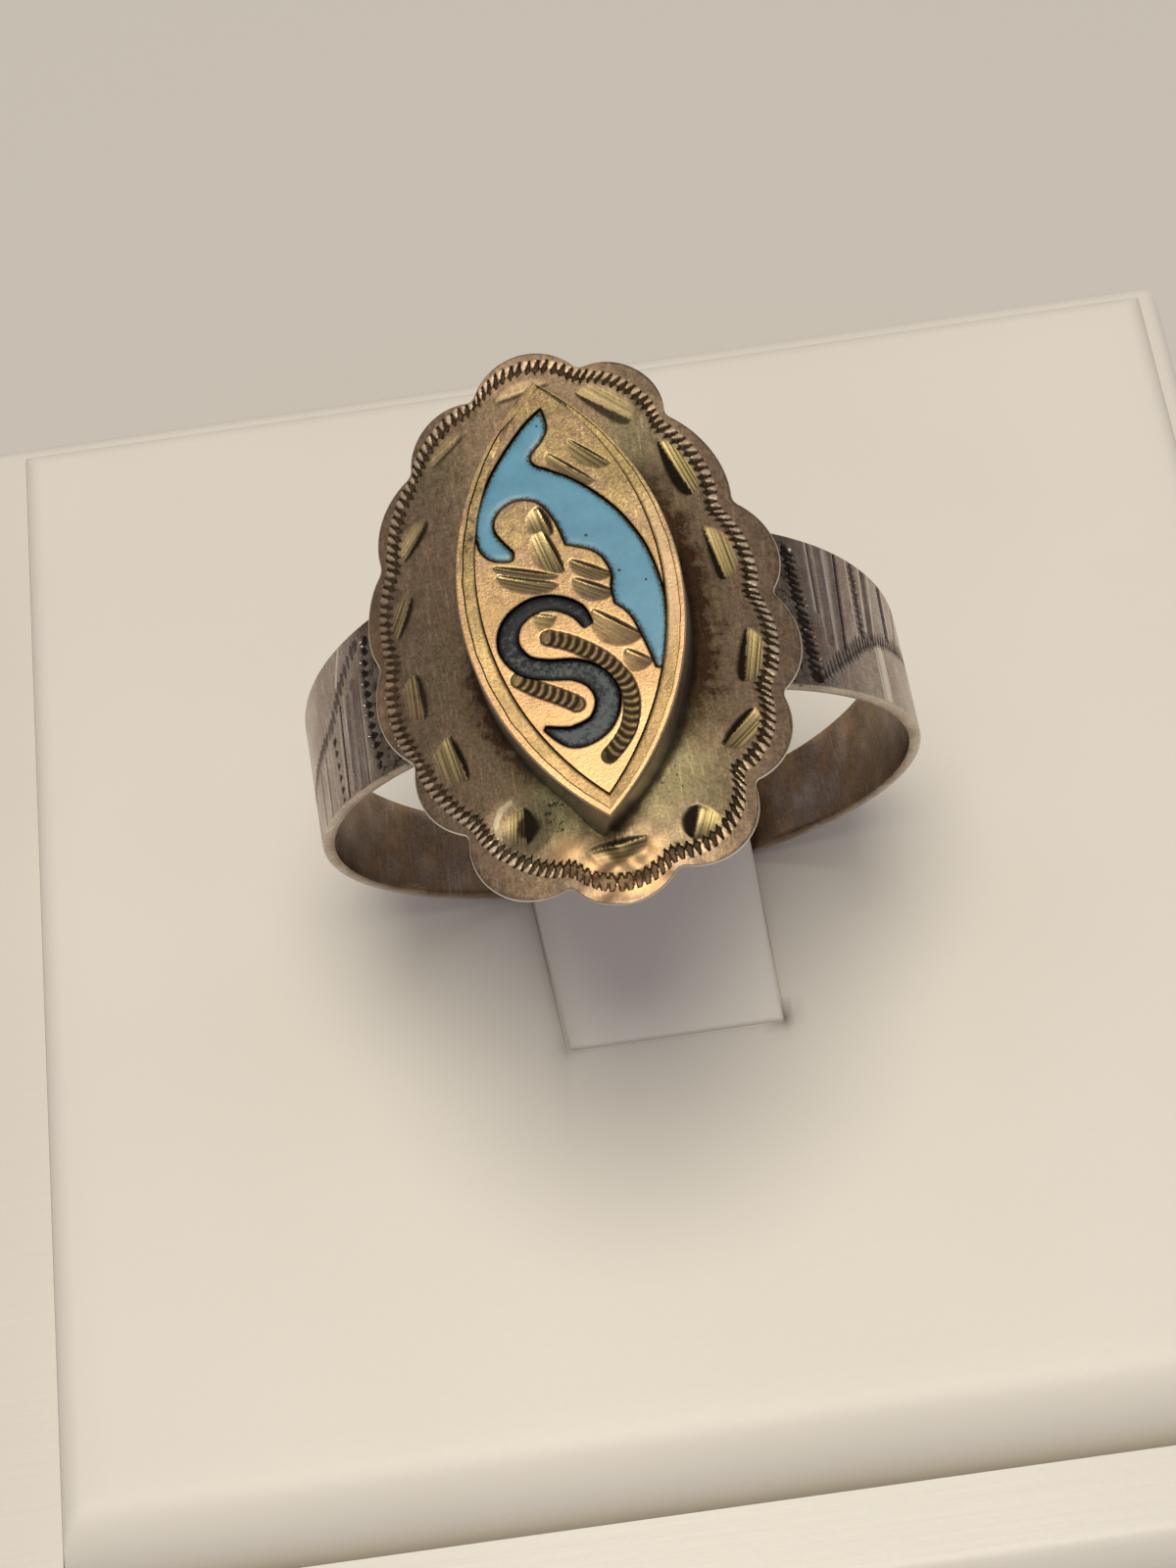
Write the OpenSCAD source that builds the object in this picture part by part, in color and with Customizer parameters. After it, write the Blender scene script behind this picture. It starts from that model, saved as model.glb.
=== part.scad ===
// Enamel ring held upright on a display pad, in millimetres.
// The ring is first drawn about its own centre: the finger goes through along Y and the plate is at +Z.

/* [Shank] */
// Outer radius of the finger band
ring_r = 9.6; // [8.4:0.1:11]
// Thickness of the band's sheet
band_t = 0.4; // [0.35:0.05:0.8]
// Width of the band at the plate
band_top_w = 5.4; // [4:0.1:6.5]
// Width of the band at the back of the finger
band_back_w = 2.6; // [1.8:0.1:4]

/* [Scalloped plate] */
// Thickness of the plate's sheet
plate_t = 0.45; // [0.35:0.05:0.6]
// Radius that the plate is bent to, about the finger
plate_bend_r = 14; // [12:0.5:24]

/* [Pointed plaque] */
// Length from point to point
plaque_len = 13.9; // [12:0.1:14.5]
// Width across the middle
plaque_w = 6.42; // [5.6:0.02:6.8]
// Height above the crown of the plate
plaque_h = 1.35; // [1:0.05:2]
// Length of the field inside the border
field_len = 12.9; // [11:0.1:13.2]
// Width of the field inside the border
field_w = 5.22; // [4.9:0.02:5.4]
// Width of the flat rim outside the border groove
rim_w = 0.2; // [0.1:0.05:0.25]
// Depth of the border groove
groove_d = 0.12; // [0.05:0.01:0.2]

/* [Enamel] */
// Depth of the pockets that hold the enamel
pocket_d = 0.35; // [0.25:0.05:0.6]
// Gap between the enamel and its pocket
enamel_gap = 0.03; // [0.02:0.01:0.05]

/* [Pose on the pad] */
// Turn of the ring about the vertical, in degrees
ring_turn = 2.5; // [-5:0.5:5]
// Forward lean of the ring, in degrees
ring_lean = 5; // [0:0.5:6]
// Turn of the ring about the finger, in degrees
ring_roll = -3.5; // [-10:0.5:10]
// How deep the band sits in the pad's window
ring_sink = 0.6; // [0.3:0.05:0.7]

/* [Display insert] */
// Side of the square pad
insert_w = 43.2; // [40:0.1:45]
// Height of the pad
insert_h = 12.8; // [10:0.1:16]
// Radius of the pad's front edge
insert_r = 2.8; // [1:0.1:4]
// Radius of the pad's other edges
insert_side_r = 0.8; // [0.4:0.1:2]
// Width of the tongue at its hinge
tongue_w = 7.25; // [6:0.05:8]
// Length of the tongue
tongue_len = 10.5; // [9:0.1:11]
// Thickness of the tongue
tongue_t = 0.7; // [0.5:0.05:0.8]
// Rise of the tongue, in degrees
tongue_rise = 15.5; // [15:0.5:17]

/* [Display tray] */
// Width of the broad ledge on the left
left_ledge = 3.65; // [2:0.05:6]
// Width of the broad ledge at the front
front_ledge = 3.9; // [2:0.05:6]
// Thickness of the thin walls on the right and at the back
thin_wall = 0.75; // [0.6:0.05:3]
// Outer height
tray_h = 14; // [13:0.1:18]
// Thickness of the floor
tray_floor = 2; // [1.5:0.1:3]
// Radius of the ledges' outer edges
ledge_r = 1.6; // [0.6:0.1:1.8]
// Radius of the thin walls' outer edges
wall_r = 0.5; // [0.3:0.05:0.6]
// Radius of the outer vertical corners
tray_corner_r = 1.2; // [0.8:0.1:1.6]
// Gap between the pad and the tray's wall
seat_gap = 0.1; // [0.1:0.05:0.3]

/* [Hidden] */
$fn = 128;
FAR = 60;

// The plate's outline, clockwise from the left of the lobe at the far point:
// x and y of each notch, and how far the lobe after it bulges past the straight line to the next one.
X = 0;
Y = 1;
BULGE = 2;
LOBES = [
    [-1.80, 7.60, 0.90],
    [1.20, 8.00, 1.00],
    [3.70, 6.10, 0.55],
    [5.20, 3.15, 0.70],
    [5.70, 0.00, 0.70],
    [5.40, -3.20, 0.65],
    [4.05, -5.90, 1.10],
    [1.55, -8.10, 0.85],
    [-1.50, -8.00, 1.00],
    [-4.15, -5.75, 0.60],
    [-5.30, -3.10, 0.60],
    [-5.90, 0.20, 0.50],
    [-5.40, 3.15, 0.60],
    [-4.00, 5.90, 0.75]
];

// How far in from the notches the flat middle of the plate ends, as a share of their distance
CORE_SCALE = 0.88;

// Middle of the plaque, and of the field inside its border
plaque_at = [0.13, 0];
field_at = [0.15, 0.15];

// The blue comma, clockwise from the far point of its horn, one row of points for each smooth stretch
BLUE_OUTER = [
    [0.22, 6.00], [0.27, 5.40], [0.07, 5.00], [-0.33, 4.58], [-0.28, 4.25], [0.10, 4.00], [0.80, 3.50],
    [1.60, 2.62], [2.10, 1.80], [2.48, 0.80], [2.66, -0.45], [2.60, -1.50], [2.30, -2.65]
];
BLUE_FOOT = [[2.30, -2.65], [2.20, -2.78], [2.08, -2.74]];
BLUE_SCALLOP_A = [[2.08, -2.74], [1.93, -2.00], [1.66, -1.05], [1.28, -0.55]];
BLUE_SCALLOP_B = [[1.28, -0.55], [1.27, -0.10], [1.34, 0.45], [1.02, 1.14], [0.22, 1.56]];
BLUE_BAY = [
    [0.22, 1.56], [0.04, 2.35], [-0.35, 3.05], [-1.00, 3.26], [-1.57, 2.96], [-1.74, 2.40], [-1.31, 1.62]
];
BLUE_TAIL = [
    [-1.31, 1.62], [-1.42, 1.40], [-1.95, 1.55], [-2.24, 2.05], [-2.15, 3.00], [-1.46, 4.30],
    [-0.43, 5.50], [0.22, 6.00]
];

// Middle line of the grey scroll from its thin end: x, y and the half width at each point
HALF_W = 2;
SCROLL = [
    [0.41, -1.06, 0.13],
    [0.16, -0.55, 0.20],
    [-0.45, -0.18, 0.20],
    [-1.10, -0.18, 0.22],
    [-1.70, -0.58, 0.25],
    [-1.90, -1.25, 0.28],
    [-1.58, -1.88, 0.28],
    [-0.95, -2.18, 0.28],
    [-0.15, -2.36, 0.30],
    [0.40, -2.78, 0.32],
    [0.58, -3.45, 0.33],
    [0.22, -4.12, 0.32],
    [-0.55, -4.34, 0.30],
    [-1.28, -3.94, 0.05]
];

// Points that the curves get between two given ones
CURVE_STEPS = 3;

band_r = ring_r - band_t;
band_widening = (band_top_w - band_back_w) / (2 * ring_r);
band_low_w = band_back_w - band_widening;
band_high_w = band_top_w + band_widening;
plate_crown = ring_r + 0.4;
plaque_top = plate_crown + plaque_h;

seat_w = insert_w + 2 * seat_gap;
tray_w = seat_w + left_ledge + thin_wall;
tray_d = seat_w + front_ledge + thin_wall;
insert_x = (left_ledge - thin_wall) / 2;
insert_y = (front_ledge - thin_wall) / 2;
pad_top = tray_floor + insert_h;
ring_x = -0.75;
ring_y = 0.6;
hinge_y = -6.05;
tongue_tip_w = tongue_w + 0.7;
tongue_drift = -0.7;
tongue_root = 1.2;
window_d = ring_sink + 0.15;
window_gap = 0.2;

function unit(v) = v / norm(v);
function left_of(v) = [-v[1], v[0]];

function spline_at(a, b, c, d, t) =
    0.5 * (2 * b + (c - a) * t + (2 * a - 5 * b + 4 * c - d) * t * t + (3 * b - a - 3 * c + d) * t * t * t);

// Smooth open curve through the given points, without its last point
function curve(p) = [
    for (i = [0:len(p) - 2])
        for (k = [0:CURVE_STEPS - 1])
            spline_at(p[max(i - 1, 0)], p[i], p[i + 1], p[min(i + 2, len(p) - 1)], k / CURVE_STEPS)
];

// A clockwise closed outline, moved outwards by d
function grown(p, d) = [
    for (i = [0:len(p) - 1])
        p[i] + d * left_of(unit(p[(i + 1) % len(p)] - p[(i + len(p) - 1) % len(p)]))
];

function blue_outline() = concat(
    curve(BLUE_OUTER), curve(BLUE_FOOT), curve(BLUE_SCALLOP_A),
    curve(BLUE_SCALLOP_B), curve(BLUE_BAY), curve(BLUE_TAIL));

function scroll_line() = concat(curve(SCROLL), [SCROLL[len(SCROLL) - 1]]);

// One side of the scroll: side is 1 or -1, and extra widens it
function scroll_side(p, side, extra) = [
    for (i = [0:len(p) - 1])
        let (
            a = p[max(i - 1, 0)],
            b = p[min(i + 1, len(p) - 1)],
            along = unit([b[X] - a[X], b[Y] - a[Y]]),
            end_shift = i == 0 ? -extra : (i == len(p) - 1 ? extra : 0)
        )
        [p[i][X], p[i][Y]] + along * end_shift + left_of(along) * side * (p[i][HALF_W] + extra)
];

function reversed(p) = [for (i = [len(p) - 1:-1:0]) p[i]];

function scroll_outline(extra) =
    concat(scroll_side(scroll_line(), 1, extra), reversed(scroll_side(scroll_line(), -1, extra)));

// Pointed oval of two equal arcs
module pointed_oval(len, w) {
    r = (len * len / 4 + w * w / 4) / w;
    intersection() {
        translate([r - w / 2, 0]) circle(r);
        translate([w / 2 - r, 0]) circle(r);
    }
}

// Round lobe that stands out by bulge past the line from a to b
module lobe(a, b, bulge) {
    chord = norm(b - a);
    r = (chord * chord / 4 + bulge * bulge) / (2 * bulge);
    middle = (a + b) / 2;
    translate(middle + left_of(unit(b - a)) * (bulge - r)) circle(r);
}

module plate_outline() {
    notches = [for (row = LOBES) [row[X], row[Y]]];
    polygon(CORE_SCALE * notches);
    for (i = [0:len(LOBES) - 1])
        lobe(notches[i], notches[(i + 1) % len(LOBES)], LOBES[i][BULGE]);
}

module along_finger(r, len) {
    rotate([90, 0, 0]) cylinder(r = r, h = len, center = true);
}

// Flat band that narrows from the plate to the back of the finger
module shank() {
    intersection() {
        difference() {
            along_finger(ring_r, 2 * ring_r);
            along_finger(band_r, 2 * ring_r + 1);
        }
        rotate([90, 0, 90])
            linear_extrude(height = FAR, center = true)
                polygon([
                    [-band_low_w / 2, -ring_r - 1], [band_low_w / 2, -ring_r - 1],
                    [band_high_w / 2, ring_r + 1], [-band_high_w / 2, ring_r + 1]
                ]);
    }
}

// Sheet with 14 lobes, bent about the finger and soldered on the top of the band
module scalloped_plate() {
    intersection() {
        translate([0, 0, ring_r / 2]) linear_extrude(height = ring_r) plate_outline();
        translate([0, 0, plate_crown - plate_bend_r])
            difference() {
                along_finger(plate_bend_r, FAR);
                along_finger(plate_bend_r - plate_t, FAR + 1);
            }
    }
}

// Plaque with upright walls, a border groove and two pockets
module pointed_plaque() {
    difference() {
        intersection() {
            translate([plaque_at[X], plaque_at[Y], plaque_top - 2 * plaque_h])
                linear_extrude(height = 2 * plaque_h) pointed_oval(plaque_len, plaque_w);
            difference() {
                translate([0, 0, FAR / 2]) cube(FAR, center = true);
                translate([0, 0, plate_crown - plate_bend_r]) along_finger(plate_bend_r - plate_t / 2, FAR);
            }
        }
        translate([0, 0, plaque_top - groove_d])
            linear_extrude(height = 1)
                difference() {
                    translate(plaque_at) pointed_oval(plaque_len - 3.2 * rim_w, plaque_w - 2 * rim_w);
                    translate(field_at) pointed_oval(field_len, field_w);
                }
        translate([0, 0, plaque_top - pocket_d]) linear_extrude(height = 1) {
            polygon(grown(blue_outline(), enamel_gap));
            polygon(scroll_outline(enamel_gap));
        }
    }
}

module on_the_pad() {
    translate([insert_x + ring_x, insert_y + ring_y, pad_top + ring_r - ring_sink])
        rotate([0, 0, ring_turn]) rotate([ring_lean, 0, 0]) rotate([0, ring_roll, 0]) children();
}

// The soldered gilt-silver body
module ring_metal() {
    color([0.72, 0.62, 0.47]) on_the_pad() {
        shank();
        scalloped_plate();
        pointed_plaque();
    }
}

module enamel_fill() {
    translate([0, 0, plaque_top - pocket_d + enamel_gap / 2])
        linear_extrude(height = pocket_d - 1.5 * enamel_gap) children();
}

module blue_enamel() {
    color([0.36, 0.62, 0.76]) on_the_pad() enamel_fill() polygon(blue_outline());
}

module grey_enamel() {
    color([0.2, 0.24, 0.3]) on_the_pad() enamel_fill() polygon(scroll_outline(0));
}

// Upright bar profile with its top corners rounded, the first one at -X
module rounded_top(w, h, r1, r2) {
    translate([-w / 2, 0]) square([w / 2, h - r1]);
    translate([0, 0]) square([w / 2, h - r2]);
    translate([r1 - w / 2, 0]) square([w - r1 - r2, h]);
    translate([r1 - w / 2, h - r1]) circle(r1);
    translate([w / 2 - r2, h - r2]) circle(r2);
}

// Block with rounded top edges: the radii at the front, the back, the left and the right
module soft_block(w, d, h, front_r, back_r, left_r, right_r) {
    intersection() {
        rotate([90, 0, 90]) linear_extrude(height = w, center = true) rounded_top(d, h, front_r, back_r);
        rotate([90, 0, 0]) linear_extrude(height = d, center = true) rounded_top(w, h, left_r, right_r);
    }
}

// Outline of the tongue, from behind its hinge to its tip, widened by extra
module tongue_outline(root, tip, extra) {
    w0 = tongue_w / 2 + extra;
    w1 = tongue_tip_w / 2 + extra;
    polygon([
        [-w0, -root], [w0, -root], [w0, 0],
        [tongue_drift + w1, tip], [tongue_drift - w1, tip], [-w0, 0]
    ]);
}

// Square pad with a window, and the sloping tongue that holds the band down
module display_insert() {
    color([0.88, 0.86, 0.82]) translate([insert_x, insert_y, 0]) {
        difference() {
            translate([0, 0, tray_floor])
                soft_block(insert_w, insert_w, insert_h, insert_r, insert_side_r, insert_side_r, insert_side_r);
            translate([0, hinge_y, pad_top - window_d])
                linear_extrude(height = window_d + 1) tongue_outline(0, tongue_len + window_gap, window_gap);
        }
        translate([0, hinge_y, pad_top])
            rotate([tongue_rise, 0, 0])
                translate([0, 0, -tongue_t]) linear_extrude(height = tongue_t)
                    tongue_outline(tongue_root, tongue_len, 0);
    }
}

// Shallow box with two broad ledges and two thin walls, open at the top for the pad
module display_tray() {
    color([0.9, 0.88, 0.85])
        difference() {
            intersection() {
                soft_block(tray_w, tray_d, tray_h, ledge_r, wall_r, ledge_r, wall_r);
                linear_extrude(height = tray_h) upright_corners();
            }
            translate([insert_x - seat_w / 2, insert_y - seat_w / 2, tray_floor])
                cube([seat_w, seat_w, tray_h]);
        }
}

module upright_corners() {
    r = tray_corner_r;
    square([tray_w - 2 * r, tray_d], center = true);
    square([tray_w, tray_d - 2 * r], center = true);
    for (x = [-1, 1])
        for (y = [-1, 1])
            translate([x * (tray_w / 2 - r), y * (tray_d / 2 - r)]) circle(r);
}

ring_metal();
blue_enamel();
grey_enamel();
display_insert();
display_tray();
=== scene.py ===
import math

import bmesh
import bpy
import numpy as np
from mathutils import Matrix, Vector
from mathutils.geometry import delaunay_2d_cdt


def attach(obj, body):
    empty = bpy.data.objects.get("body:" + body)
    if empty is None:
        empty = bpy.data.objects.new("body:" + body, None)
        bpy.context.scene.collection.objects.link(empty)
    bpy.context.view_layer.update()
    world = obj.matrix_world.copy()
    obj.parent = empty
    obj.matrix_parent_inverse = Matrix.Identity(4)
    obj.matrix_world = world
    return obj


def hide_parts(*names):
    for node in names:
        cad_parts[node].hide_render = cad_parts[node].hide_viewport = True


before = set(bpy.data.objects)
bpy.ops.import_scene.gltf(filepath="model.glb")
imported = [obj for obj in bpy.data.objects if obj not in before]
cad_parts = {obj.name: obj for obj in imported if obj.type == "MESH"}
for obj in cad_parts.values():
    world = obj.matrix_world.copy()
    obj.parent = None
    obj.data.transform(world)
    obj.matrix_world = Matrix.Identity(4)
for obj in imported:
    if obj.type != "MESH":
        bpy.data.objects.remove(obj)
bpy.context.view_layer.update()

# Shank
# A strip of silver sheet, rolled into the finger band and soldered under the plate. Both shoulders are cut by
# hand with flutes and wriggle work. The gilding has worn off outside, and the inside has gone dull and brown.
MM = 0.001
RING_PLACE = (0.70, 2.175, 23.8)
RING_TURN, RING_LEAN, RING_ROLL = math.radians(2.5), math.radians(5), math.radians(-3.5)
ring_pose = (
    Matrix.Translation(RING_PLACE)
    @ Matrix.Rotation(RING_TURN, 4, "Z")
    @ Matrix.Rotation(RING_LEAN, 4, "X")
    @ Matrix.Rotation(RING_ROLL, 4, "Y")
)


def on_the_pad(points):
    """Points about the ring's own centre in mm, put where the ring stands, in metres."""
    pose = np.array(ring_pose)
    return (np.asarray(points).reshape(-1, 3) @ pose[:3, :3].T + pose[:3, 3]) * MM


def grid_faces(rows, columns, loop_rows=False, loop_columns=False):
    """Faces between the neighbours of a grid whose points are stored row by row."""
    row, column = np.meshgrid(
        np.arange(rows if loop_rows else rows - 1),
        np.arange(columns if loop_columns else columns - 1),
        indexing="ij",
    )
    next_row, next_column = (row + 1) % rows, (column + 1) % columns
    corners = [(row, column), (row, next_column), (next_row, next_column), (next_row, column)]
    return np.stack([r * columns + c for r, c in corners], -1).reshape(-1, 4).tolist()


def in_scene(name, data):
    """A new object that is linked to the scene."""
    made = bpy.data.objects.new(name, data)
    bpy.context.scene.collection.objects.link(made)
    return made


def make_piece(name, points, faces, material, marks=None, crease=35):
    """A smooth piece with closed faces. Each mark is one number per point, for the material to read."""
    mesh = bpy.data.meshes.new(name)
    mesh.from_pydata(np.asarray(points).tolist(), [], faces)
    for mark, values in (marks or {}).items():
        layer = mesh.attributes.new(mark, "FLOAT", "POINT")
        layer.data.foreach_set("value", np.asarray(values, dtype=np.float32).ravel())
    work = bmesh.new()
    work.from_mesh(mesh)
    bmesh.ops.remove_doubles(work, verts=work.verts, dist=1e-7)
    bmesh.ops.recalc_face_normals(work, faces=work.faces)
    work.to_mesh(mesh)
    work.free()
    mesh.shade_smooth()
    mesh.set_sharp_from_angle(angle=math.radians(crease))
    mesh.materials.append(material)
    return in_scene(name, mesh)


def limited(values):
    """Values kept between 0 and 1."""
    return np.clip(values, 0, 1)


def wriggle(strokes, across, slant=0.35, solid=0.0):
    """Depth, from 0 to 1, of wriggle work: slanting strokes with pointed ends, which nearly meet inside the
    middle, and run together where solid is high. Across runs from -1 to 1. Also gives the share of the fresh
    facets between the strokes, brightest next to the stroke that follows."""
    place = strokes - slant * across
    chance = np.sin(np.floor(place) * 12.99) * 4375.8 % 1
    gap = np.abs(place % 1 * 2 - 1)
    wall = 0.5 + 0.45 * across**2 - 0.35 * np.exp(-(((across + 0.35) / 0.25) ** 2)) - solid
    deep = limited((gap - wall - 0.3 * (chance - 0.5)) / 0.25) * (np.abs(across) < 1.02)
    facet = 1.25 - ((across - 0.38) / 0.52) ** 2 - ((place % 1 - 0.55) / 0.30) ** 2
    return deep, limited(2.5 * facet) * (0.6 + 0.4 * chance)


def beside_path(x, y, path):
    """How far along a path each point lies, and how far to its left, in mm."""
    nearest = np.full(np.shape(x), 1e9)
    along, side = np.zeros(np.shape(x)), np.full(np.shape(x), 1e9)
    done = 0
    for a, b in zip(path, path[1:]):
        run = np.subtract(b, a)
        length = np.hypot(*run)
        share = limited(((x - a[0]) * run[0] + (y - a[1]) * run[1]) / length**2)
        away_x, away_y = x - a[0] - share * run[0], y - a[1] - share * run[1]
        away = np.hypot(away_x, away_y)
        nearer = away < nearest
        nearest = np.where(nearer, away, nearest)
        along = np.where(nearer, done + share * length, along)
        side = np.where(nearer, np.sign(away_y * run[0] - away_x * run[1]) * away, side)
        done += length
    return along, side


def ripple(x, y, size, seed):
    """Gentle unevenness of a hand-worked sheet, from -1 to 1, with swells of that size in mm."""
    turn = np.random.default_rng(seed)
    total = np.zeros(np.shape(x))
    for _ in range(6):
        angle, phase, stretch = turn.uniform(0, np.pi), turn.uniform(0, 2 * np.pi), turn.uniform(0.7, 1.6)
        total += np.sin((x * np.cos(angle) + y * np.sin(angle)) * 2 * np.pi / (size * stretch) + phase)
    return total / 6


BAND_R, BAND_T = 9.6, 0.4
BAND_TOP_W, BAND_BACK_W = 5.4, 2.6
BAND_EDGE = 0.07
ARC_MM = math.radians(1) * BAND_R

# Straight cuts of each shoulder: both ends in degrees from the top and mm across, half width, tone and depth.
# A tone above 0 is a burnished crest, painted light as a highlight line, and one below 0 is a blackened
# groove.
RIGHT_CUTS = [
    ((46.2, 0.05), (47.1, 2.6), 0.05, 0.8, 0.0), ((46.9, 0.05), (47.8, 2.6), 0.05, -0.9, 0.015),
    ((48.6, -0.9), (50.2, 2.5), 0.22, -0.3, 0.03), ((50.2, -1.05), (52.3, 2.5), 0.13, 0.5, 0.02),
    ((51.2, -1.05), (53.6, 2.5), 0.15, -0.3, 0.02), ((52.3, -1.0), (55.4, 2.6), 0.075, -1.0, 0.03),
    ((56.9, -0.6), (58.7, 2.5), 0.04, 0.75, 0.0), ((59.0, -0.3), (60.5, 2.5), 0.10, -0.5, 0.04),
    ((60.4, -0.3), (63.4, 2.45), 0.055, 1.0, 0.0), ((62.1, -0.2), (64.8, 2.45), 0.16, -0.5, 0.05),
    ((63.7, 0.0), (67.2, 2.4), 0.05, 0.9, 0.0), ((70.2, 0.2), (72.1, 2.3), 0.16, -0.95, 0.08),
    ((71.6, 0.25), (74.0, 2.3), 0.05, 0.8, 0.0), ((75.5, 0.4), (82.3, 2.25), 0.06, -0.5, 0.05),
    # The last three cuts on the right have no depth: a painted highlight streak on the smooth part below the
    # wriggle line
    ((85.6, 0.5), (85.4, 1.9), 0.10, -0.8, 0.05), ((64.7, -0.4), (64.0, -2.6), 0.24, 1.0, 0.0),
    ((65.9, -0.45), (65.6, -2.6), 0.04, 1.0, 0.0), ((62.9, -0.5), (62.4, -2.6), 0.05, 1.0, 0.0),
]
LEFT_CUTS = [
    ((46.1, -1.0), (47.1, 2.5), 0.05, -0.8, 0.015), ((45.4, -0.7), (46.4, 2.5), 0.035, 0.4, 0.0),
    ((47.3, -0.9), (48.6, 2.3), 0.24, -0.35, 0.03), ((48.5, -0.75), (49.9, 2.3), 0.06, 0.35, 0.0),
    ((49.6, -0.6), (51.3, 2.2), 0.17, -0.2, 0.04), ((51.3, -0.8), (52.5, 2.2), 0.06, 0.4, 0.0),
    ((53.0, -0.6), (54.4, 2.3), 0.055, -1.0, 0.02), ((53.9, -0.6), (55.3, 2.2), 0.06, 0.45, 0.0),
    ((59.6, 0.0), (59.8, 2.3), 0.04, 0.4, 0.0), ((62.6, 0.4), (63.6, 2.5), 0.05, -0.7, 0.015),
    ((63.5, 0.4), (64.5, 2.4), 0.05, 0.7, 0.0), ((67.1, 0.5), (68.5, 2.4), 0.05, -0.8, 0.015),
    # The last cut on the left has no depth: a painted highlight line on the smooth part
    ((75.0, 0.6), (76.0, 2.2), 0.06, -0.6, 0.02), ((50.7, -2.4), (53.6, -1.3), 0.07, 1.0, 0.0),
]
# Wriggle lines of each shoulder: path in degrees and mm, half width, stroke pitch, slant, how far the strokes
# run together, depth, tone and share of fresh facets
RIGHT_WRIGGLES = [
    ([(42.2, 2.0), (42.9, 0.0), (43.3, -2.1)], 0.27, 0.25, 0.5, 0.45, 0.09, 1.0, 0.1),
    ([(43.3, -2.2), (47.9, -1.69), (52.8, -1.15), (57.0, -0.7), (61.5, -0.35), (65.0, -0.15), (74.8, 0.1),
      (86.0, 0.35)], 0.30, 0.20, 0.7, 0.1, 0.025, 0.9, 0.0),
    ([(58.9, -0.2), (60.3, 2.3)], 0.19, 0.22, 0.6, 0.25, 0.05, 0.9, 0.1),
]
LEFT_WRIGGLES = [
    ([(42.6, -1.96), (43.7, -1.0), (43.9, 0.1), (43.8, 1.1), (42.9, 2.0)],
     0.20, 0.34, 0.2, 0.2, 0.08, 1.0, 0.0),
    ([(45.2, -2.05), (48.8, -1.6), (51.8, -1.2), (53.9, -0.82), (57.4, -0.26), (61.2, -0.04), (67.7, 0.25),
      (84.0, 0.9)], 0.21, 0.30, 0.4, 0.25, 0.025, 0.65, 0.0),
    ([(57.1, 0.28), (56.6, 2.2)], 0.13, 0.40, 0.0, 0.0, 0.03, 0.9, 0.0),
]

# Degrees round the band, closest on the two shoulders
angles = np.concatenate([
    np.linspace(low, high, count, endpoint=False)
    for low, high, count in ((-180, -90, 40), (-90, -36, 240), (-36, 36, 24), (36, 90, 240), (90, 180, 40))])
OUTSIDE_COLUMNS, INSIDE_COLUMNS = 133, 9
spread = np.linspace(-1, 1, OUTSIDE_COLUMNS)
half_width = (BAND_BACK_W + (BAND_TOP_W - BAND_BACK_W) * (1 + np.cos(np.radians(angles))) / 2) / 2
theta, share = np.meshgrid(angles, spread, indexing="ij")
band_y = share * (half_width[:, None] - BAND_EDGE)
band_deep, band_dark, band_bright = (np.zeros(theta.shape) for _ in range(3))
for hand, cuts, wriggles in ((1, RIGHT_CUTS, RIGHT_WRIGGLES), (-1, LEFT_CUTS, LEFT_WRIGGLES)):
    arc, across, here = theta * hand * ARC_MM, band_y * hand, theta * hand > 0
    for start, end, half, tone, depth in cuts:
        side = beside_path(arc, across, [(degrees * ARC_MM, y) for degrees, y in (start, end)])[1]
        cut = limited((1 - np.abs(side) / half) * 2) * here
        band_deep = np.maximum(band_deep, depth * cut)
        if tone > 0:
            band_bright = np.maximum(band_bright, tone * cut)
        else:
            band_dark, band_bright = np.maximum(band_dark, -tone * cut), band_bright * (1 - cut)
    for path, half, pitch, slant, solid, depth, tone, fresh_share in wriggles:
        along, side = beside_path(arc, across, [(degrees * ARC_MM, y) for degrees, y in path])
        deep, facet = wriggle(along / pitch, side / half, slant, solid)
        deep, facet = deep * here, facet * fresh_share * here * (along > 0.01)
        band_deep = np.maximum(band_deep, depth * deep)
        band_dark = np.maximum(band_dark * (1 - facet), tone * deep)
        band_bright = np.maximum(band_bright * (1 - deep), facet)
band_lay = theta * ARC_MM
outer_r = BAND_R - band_deep + 0.012 * ripple(band_lay, band_y, 3.0, 4)

# Outside, rounded edge, inside and rounded edge again, as rings of radius and place across the band
columns = [(*column, 0.0, 0.0)
           for column in zip(outer_r.T, band_y.T, band_dark.T, band_bright.T, band_lay.T)]
uncut = np.zeros(len(angles))
# Turns of the rounding in degrees, and how pale it is painted there: a painted edge highlight, where the
# gilding has also worn off
OUTER_TURNS, INNER_TURNS = ((30, 0.7), (60, 1.0), (90, 0.3)), ((90, 0.0), (45, 0.0), (0, 0.0))


def round_edge(side, radius, way, turns, inside):
    """Columns round one edge of the strip, on the side at 1 or -1, from a radius outwards or inwards."""
    for degrees, worn in turns:
        t = math.radians(degrees)
        columns.append((
            uncut + radius + way * BAND_EDGE * (1 - math.cos(t)),
            side * (half_width - BAND_EDGE * (1 - math.sin(t))), uncut, uncut, uncut, inside, worn))


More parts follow.
